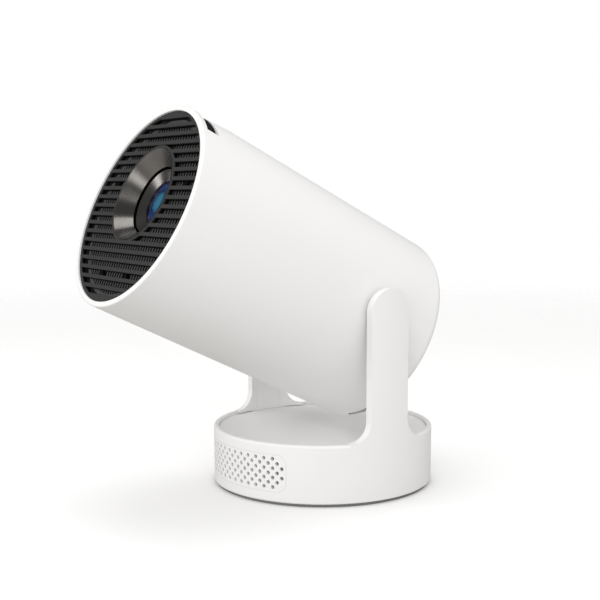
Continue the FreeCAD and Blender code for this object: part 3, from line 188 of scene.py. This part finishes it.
def moulded(name, value, warm=0.0, rough=0.42, grain=2600.0, depth=0.00002, wear=0.06, cloud=0.03):
    """Injection-moulded plastic: fine spark texture, slight flow marks and a little tonal drift."""
    recipe = Recipe(name)
    place = recipe.coordinates()
    broad = recipe.noise(place, 22.0, 2.0)
    fine = recipe.noise(place, grain, 2.0, 0.6)
    middle = recipe.noise(place, grain / 6, 3.0, 0.55)
    colour = recipe.mix(broad, tone(value * (1 - cloud), warm), tone(value * (1 + cloud), warm))
    recipe.link(colour, recipe.shader.inputs["Base Color"])
    recipe.link(recipe.spread(middle, rough - wear, rough + wear), recipe.shader.inputs["Roughness"])
    normal = recipe.bump(fine, 0.35, depth)
    normal = recipe.bump(middle, 0.15, depth * 2, normal)
    recipe.link(normal, recipe.shader.inputs["Normal"])
    return recipe


def painted_slot_shade(recipe, colour, face, fade):
    """Darkens a colour to near black with depth behind a face of the head: painted shade, as in a narrow
    slot.
    """
    depth = recipe.node("ShaderNodeMapRange", interpolation_type="SMOOTHSTEP")
    depth.inputs["From Min"].default_value = face - fade
    depth.inputs["From Max"].default_value = face
    recipe.link(recipe.parts(recipe.coordinates(HEAD))["Z"], depth.inputs["Value"])
    # Near black is the painted shade deep in the slot; the moulding's own colour stays at the face.
    return recipe.mix(depth.outputs["Result"], (0.002, 0.002, 0.002, 1), colour)


def charcoal(name, value, face, fade):
    """Charcoal moulding, spark eroded, with painted shade darkening its slots."""
    recipe = moulded(name, value, 0.0, 0.55, grain=3200.0, depth=0.00003, cloud=0.08)
    recipe.set(Specular_IOR_Level=0.12)
    source = recipe.shader.inputs["Base Color"].links[0].from_socket
    recipe.link(painted_slot_shade(recipe, source, face, fade), recipe.shader.inputs["Base Color"])
    return recipe


def rubber(name, value):
    """Dull ribbed rubber."""
    recipe = moulded(name, value, 0.0, 0.8, grain=1800.0, depth=0.00005, cloud=0.15)
    return recipe.set(Specular_IOR_Level=0.15)


def outlined(recipe, radius, half_width, low, high, corner):
    """Blends a fine grey rounded-rectangle line into the colour of a round wall about Z, facing -Y."""
    parts = recipe.parts(recipe.coordinates())
    back = recipe.math("MULTIPLY", parts["Y"], -1.0)
    across = recipe.math("MULTIPLY", recipe.math("ARCTAN2", parts["X"], back), radius)
    rise = recipe.math("SUBTRACT", parts["Z"], (low + high) / 2)
    over_x = recipe.math("SUBTRACT", recipe.math("ABSOLUTE", across), half_width - corner)
    over_z = recipe.math("SUBTRACT", recipe.math("ABSOLUTE", rise), (high - low) / 2 - corner)
    outside = recipe.node("ShaderNodeCombineXYZ")
    recipe.link(recipe.math("MAXIMUM", over_x, 0.0), outside.inputs["X"])
    recipe.link(recipe.math("MAXIMUM", over_z, 0.0), outside.inputs["Y"])
    inside = recipe.math("MINIMUM", recipe.math("MAXIMUM", over_x, over_z), 0.0)
    edge = recipe.math("SUBTRACT", recipe.math("ADD", recipe.length(outside.outputs[0]), inside), corner)
    line = recipe.node("ShaderNodeMapRange", interpolation_type="SMOOTHSTEP")
    line.inputs["From Min"].default_value = SCORE_CORE
    line.inputs["From Max"].default_value = SCORE_EDGE
    line.inputs["To Min"].default_value = 1.0
    line.inputs["To Max"].default_value = 0.0
    recipe.link(recipe.math("ABSOLUTE", edge), line.inputs["Value"])
    source = recipe.shader.inputs["Base Color"].links[0].from_socket
    recipe.link(recipe.mix(line.outputs["Result"], source, tone(SCORE_TONE, WHITE_WARMTH)),
                recipe.shader.inputs["Base Color"])
    return recipe


def turned_metal(name, value, warm, frame_matrix, rough=0.28):
    """Lathe-turned and brushed metal: fine rings about the lens axis."""
    recipe = Recipe(name)
    recipe.set(Metallic=1.0, Anisotropic=0.75, Anisotropic_Rotation=0.25)
    place = recipe.coordinates(frame_matrix)
    line = recipe.node("ShaderNodeCombineXYZ")
    recipe.link(recipe.from_axis(place), line.inputs["X"])
    recipe.link(recipe.parts(place)["Z"], line.inputs["Y"])
    rings = recipe.noise(line.outputs[0], 5200.0, 2.0)
    soft = recipe.noise(place, 260.0, 3.0)
    colour = recipe.mix(rings, tone(value * 0.86, warm), tone(value * 1.12, warm))
    recipe.link(colour, recipe.shader.inputs["Base Color"])
    recipe.link(recipe.spread(soft, rough - 0.04, rough + 0.05), recipe.shader.inputs["Roughness"])
    recipe.link(recipe.bump(rings, 0.05, 0.000005), recipe.shader.inputs["Normal"])
    arm = recipe.node("ShaderNodeVectorMath", operation="SUBTRACT")
    recipe.link(recipe.coordinates(), arm.inputs[0])
    arm.inputs[1].default_value = frame_matrix.to_translation()
    around = recipe.node("ShaderNodeVectorMath", operation="CROSS_PRODUCT")
    around.inputs[0].default_value = frame_matrix.to_3x3() @ Vector((0, 0, 1))
    recipe.link(arm.outputs[0], around.inputs[1])
    turned = recipe.node("ShaderNodeVectorTransform", vector_type="VECTOR", convert_from="OBJECT",
                         convert_to="WORLD")
    recipe.link(around.outputs[0], turned.inputs[0])
    recipe.link(turned.outputs[0], recipe.shader.inputs["Tangent"])
    return recipe


def plated(name, value, warm=0.0, rough=0.32, grain=900.0):
    """Plated or drawn metal with a fine uneven polish."""
    recipe = Recipe(name)
    recipe.set(Metallic=1.0)
    place = recipe.coordinates()
    cloudy = recipe.noise(place, grain / 8, 4.0)
    fine = recipe.noise(place, grain, 2.0)
    recipe.link(recipe.mix(cloudy, tone(value * 0.85, warm), tone(value * 1.1, warm)),
                recipe.shader.inputs["Base Color"])
    recipe.link(recipe.spread(cloudy, rough - 0.08, rough + 0.12), recipe.shader.inputs["Roughness"])
    recipe.link(recipe.bump(fine, 0.2, 0.00002), recipe.shader.inputs["Normal"])
    return recipe


def board(name):
    """Solder mask over copper tracks: a faint grid of lines and speckle."""
    recipe = Recipe(name)
    place = recipe.coordinates()
    cells = recipe.node("ShaderNodeTexVoronoi", Scale=420.0, feature="DISTANCE_TO_EDGE")
    recipe.link(place, cells.inputs["Vector"])
    speckle = recipe.noise(place, 1500.0, 2.0)
    tracks = recipe.math("LESS_THAN", cells.outputs["Distance"], 0.07)
    recipe.link(recipe.mix(tracks, (0.012, 0.075, 0.035, 1), (0.03, 0.16, 0.07, 1)),
                recipe.shader.inputs["Base Color"])
    recipe.link(recipe.spread(speckle, 0.25, 0.4), recipe.shader.inputs["Roughness"])
    recipe.link(recipe.bump(tracks, 0.4, 0.00004), recipe.shader.inputs["Normal"])
    return recipe


def cloth(name):
    """Open acoustic weave."""
    recipe = Recipe(name)
    place = recipe.coordinates()
    bands = []
    for axis in ("X", "Z"):
        wave = recipe.node("ShaderNodeTexWave", Scale=900.0, Distortion=0.4, bands_direction=axis)
        recipe.link(place, wave.inputs["Vector"])
        bands.append(wave.outputs["Fac"])
    weave = recipe.math("MULTIPLY", bands[0], bands[1])
    recipe.link(recipe.mix(weave, (0.16, 0.16, 0.165, 1), (0.42, 0.42, 0.43, 1)),
                recipe.shader.inputs["Base Color"])
    recipe.set(Roughness=0.9, Sheen_Weight=0.3)
    recipe.link(recipe.bump(weave, 0.6, 0.0001), recipe.shader.inputs["Normal"])
    return recipe


def coated_glass_painted_rings(name):
    """The front lens: painted shade of its dark blue depth and painted reflections of its inner elements, as
    colour rings under a multi-layer coating.
    """
    recipe = Recipe(name)
    place = recipe.coordinates(LENS)
    # Colour rings by distance from the lens axis: the light rings are painted reflections of the inner
    # elements, the dark rings painted shade of the lens's depth.
    painted_rings = recipe.node("ShaderNodeValToRGB")
    recipe.link(recipe.math("DIVIDE", recipe.from_axis(place), LENS_PAINTED_RING_REACH), painted_rings.inputs["Fac"])
    stops = [(0.0, (0.03, 0.14, 0.24, 1)), (0.28, (0.01, 0.13, 0.22, 1)), (0.45, (0.004, 0.02, 0.06, 1)),
             (0.62, (0.01, 0.05, 0.22, 1)), (0.8, (0.02, 0.03, 0.12, 1)), (1.0, (0.005, 0.006, 0.02, 1))]
    while len(painted_rings.color_ramp.elements) < len(stops):
        painted_rings.color_ramp.elements.new(0.5)
    for element, (position, colour) in zip(painted_rings.color_ramp.elements, stops):
        element.position = position
        element.color = colour
    smear = recipe.noise(place, 160.0, 2.0)
    recipe.link(painted_rings.outputs["Color"], recipe.shader.inputs["Base Color"])
    recipe.link(recipe.spread(smear, 0.02, 0.05), recipe.shader.inputs["Roughness"])
    recipe.set(IOR=1.9, Coat_Weight=1.0, Coat_Roughness=0.02, Thin_Film_Thickness=360.0, Thin_Film_IOR=1.38)
    recipe.shader.inputs["Specular Tint"].default_value = (0.45, 0.75, 1.0, 1)
    return recipe


def clear_glass(name, tint):
    recipe = Recipe(name)
    smear = recipe.noise(recipe.coordinates(), 140.0, 2.0)
    recipe.set(Transmission_Weight=0.85, IOR=1.5)
    recipe.shader.inputs["Base Color"].default_value = tint
    recipe.link(recipe.spread(smear, 0.02, 0.08), recipe.shader.inputs["Roughness"])
    return recipe


def glow(name):
    """Light guide round the button."""
    recipe = moulded(name, 0.6, -0.2, 0.3)
    recipe.set(Emission_Color=(0.5, 0.75, 1.0, 1), Emission_Strength=0.25)
    return recipe


MATERIALS = {
    "white_shell": moulded("shell_white", WHITE, WHITE_WARMTH, 0.40, wear=0.05, cloud=0.008),
    "white_cover": moulded("cover_white", WHITE, WHITE_WARMTH, 0.46, wear=0.05, cloud=0.01),
    # Grille and mesh: charcoal moulding with painted shade behind their front faces.
    "grille_black": charcoal("grille_charcoal_painted_shade", 0.042, GRILLE_FACE, SLOT_PAINTED_SHADE_FADE),
    "mesh_black": charcoal("mesh_charcoal_painted_shade", 0.11, MESH_FACE, MESH_PAINTED_SHADE_FADE),
    "trim_metal": turned_metal("trim_gunmetal", 0.20, 0.05, LENS, 0.26),
    # The lens's base colour carries painted reflections and painted shade in rings.
    "lens_glass": coated_glass_painted_rings("lens_coated_painted_rings"),
    "panel_glass": clear_glass("panel_clear", (0.8, 0.88, 0.92, 1)),
    "black_plastic": moulded("black_plastic", 0.022, 0.0, 0.5, cloud=0.1),
    "black_rubber": rubber("black_rubber", 0.012),
    "grey_cloth": cloth("speaker_weave"),
    "steel": plated("zinc_steel", 0.56),
    "brass": plated("turned_brass", 0.5, 0.35, 0.25),
    "washer_white": moulded("washer_plastic", 0.62, 0.02, 0.4),
    "board_green": board("solder_mask"),
    "can_blue": moulded("can_sleeve", 0.06, -0.5, 0.25),
    "funnel_white": moulded("funnel_white", 0.85, 0.0, 0.2),
    "sink_aluminium": plated("extruded_aluminium", 0.7, 0.0, 0.4),
    "foot_cover": moulded("foot_cover", 0.10, 0.0, 0.6, cloud=0.08),
    "button_white": moulded("button_white", 0.78, 0.0, 0.35, cloud=0.01),
    "light_guide": glow("light_guide"),
}
STAND = moulded("stand_white", WHITE, WHITE_WARMTH, 0.40, wear=0.05, cloud=0.008)
FOOT = rubber("foot_grey", 0.2)
OWN_LOOKS = {"stand_shell": STAND.material, "foot_ring": FOOT.material}
STAND_RADIUS = max(vertex.co.x for vertex in NODES["foot_ring"].data.vertices)
SCORE_HALF_WIDTH = STAND_RADIUS * math.radians(SCORE_HALF_ANGLE)
outlined(STAND, STAND_RADIUS, SCORE_HALF_WIDTH, SCORE_LOW, SCORE_HIGH, SCORE_CORNER)
for node_name, node_object in NODES.items():
    paint = OWN_LOOKS.get(node_name, MATERIALS[SLOT_OF[node_name]].material)
    node_object.data.materials.clear()
    node_object.data.materials.append(paint)


# ---------------------------------------------------------------- stage, light and camera
def stage_floor():
    """A round pale floor whose rim melts into the white backdrop."""
    mesh = bpy.data.meshes.new("studio_floor")
    shape = bmesh.new()
    bmesh.ops.create_circle(shape, cap_ends=True, segments=96, radius=FLOOR_RADIUS)
    shape.to_mesh(mesh)
    shape.free()
    floor = bpy.data.objects.new("studio_floor", mesh)
    bpy.context.scene.collection.objects.link(floor)
    recipe = Recipe("studio_white")
    recipe.set(Roughness=0.8)
    fade = recipe.node("ShaderNodeMapRange", interpolation_type="SMOOTHSTEP")
    fade.inputs["From Min"].default_value = FLOOR_RADIUS * 0.25
    fade.inputs["From Max"].default_value = FLOOR_RADIUS * 0.95
    fade.inputs["To Min"].default_value = 1.0
    fade.inputs["To Max"].default_value = 0.0
    recipe.link(recipe.length(recipe.coordinates()), fade.inputs["Value"])
    recipe.link(fade.outputs["Result"], recipe.shader.inputs["Alpha"])
    path = recipe.node("ShaderNodeLightPath")
    seen = path.outputs["Is Camera Ray"]
    recipe.link(recipe.mix(seen, tone(FLOOR_BOUNCE, BOUNCE_WARMTH), tone(FLOOR_TONE)),
                recipe.shader.inputs["Base Color"])
    floor.data.materials.append(recipe.material)


def studio_world():
    world = bpy.data.worlds.new("studio")
    bpy.context.scene.world = world
    world.use_nodes = True
    tree = world.node_tree
    backdrop = tree.nodes["Background"]
    backdrop.inputs["Color"].default_value = (1, 1, 1, 1)
    backdrop.inputs["Strength"].default_value = 1.0
    fill = tree.nodes.new("ShaderNodeBackground")
    fill.inputs["Color"].default_value = (1.0, 0.995, 0.99, 1)
    path = tree.nodes.new("ShaderNodeLightPath")
    choose = tree.nodes.new("ShaderNodeMixShader")
    strength = tree.nodes.new("ShaderNodeMapRange")
    strength.inputs["To Min"].default_value = FILL
    strength.inputs["To Max"].default_value = GLOSSY_FILL
    tree.links.new(path.outputs["Is Glossy Ray"], strength.inputs["Value"])
    tree.links.new(strength.outputs["Result"], fill.inputs["Strength"])
    tree.links.new(path.outputs["Is Camera Ray"], choose.inputs[0])
    tree.links.new(fill.outputs[0], choose.inputs[1])
    tree.links.new(backdrop.outputs[0], choose.inputs[2])
    tree.links.new(choose.outputs[0], tree.nodes["World Output"].inputs["Surface"])


def softbox(name, spot, target, width, height, power, colour=(1, 1, 1)):
    light = bpy.data.lights.new(name, "AREA")
    light.shape = "RECTANGLE"
    light.size = width
    light.size_y = height
    light.energy = power
    light.color = colour
    holder = bpy.data.objects.new(name, light)
    bpy.context.scene.collection.objects.link(holder)
    holder.location = spot
    holder.rotation_euler = (Vector(target) - Vector(spot)).to_track_quat("-Z", "Y").to_euler()


def camera():
    back = Vector((math.sin(AZIMUTH) * math.cos(ELEVATION), -math.cos(AZIMUTH) * math.cos(ELEVATION),
                   math.sin(ELEVATION)))
    data = bpy.data.cameras.new("product_camera")
    data.lens = FOCAL
    data.sensor_width = 36.0
    data.shift_x, data.shift_y = SHIFT
    data.clip_start = 0.01
    holder = bpy.data.objects.new("product_camera", data)
    bpy.context.scene.collection.objects.link(holder)
    holder.location = AIM + back * DISTANCE
    holder.rotation_euler = (-back).to_track_quat("-Z", "Y").to_euler()
    bpy.context.scene.camera = holder


stage_floor()
studio_world()
softbox("right_front", (1.1, -0.6, 0.6), (0, 0, 0.1), 0.8, 0.8, 4.0)
softbox("low_front", (0.5, -1.1, 0.12), (0, 0, 0.06), 0.8, 0.25, 1.7)
softbox("top_strip", (-0.10, -0.02, 1.22), (0, -0.1, 0.14), 0.60, 0.60, 2.6)
softbox("left_strip", (-0.54, -1.05, 0.24), (0, -0.1, 0.14), 0.36, 0.30, 1.9)
camera()
bpy.context.scene.view_settings.view_transform = "Standard"
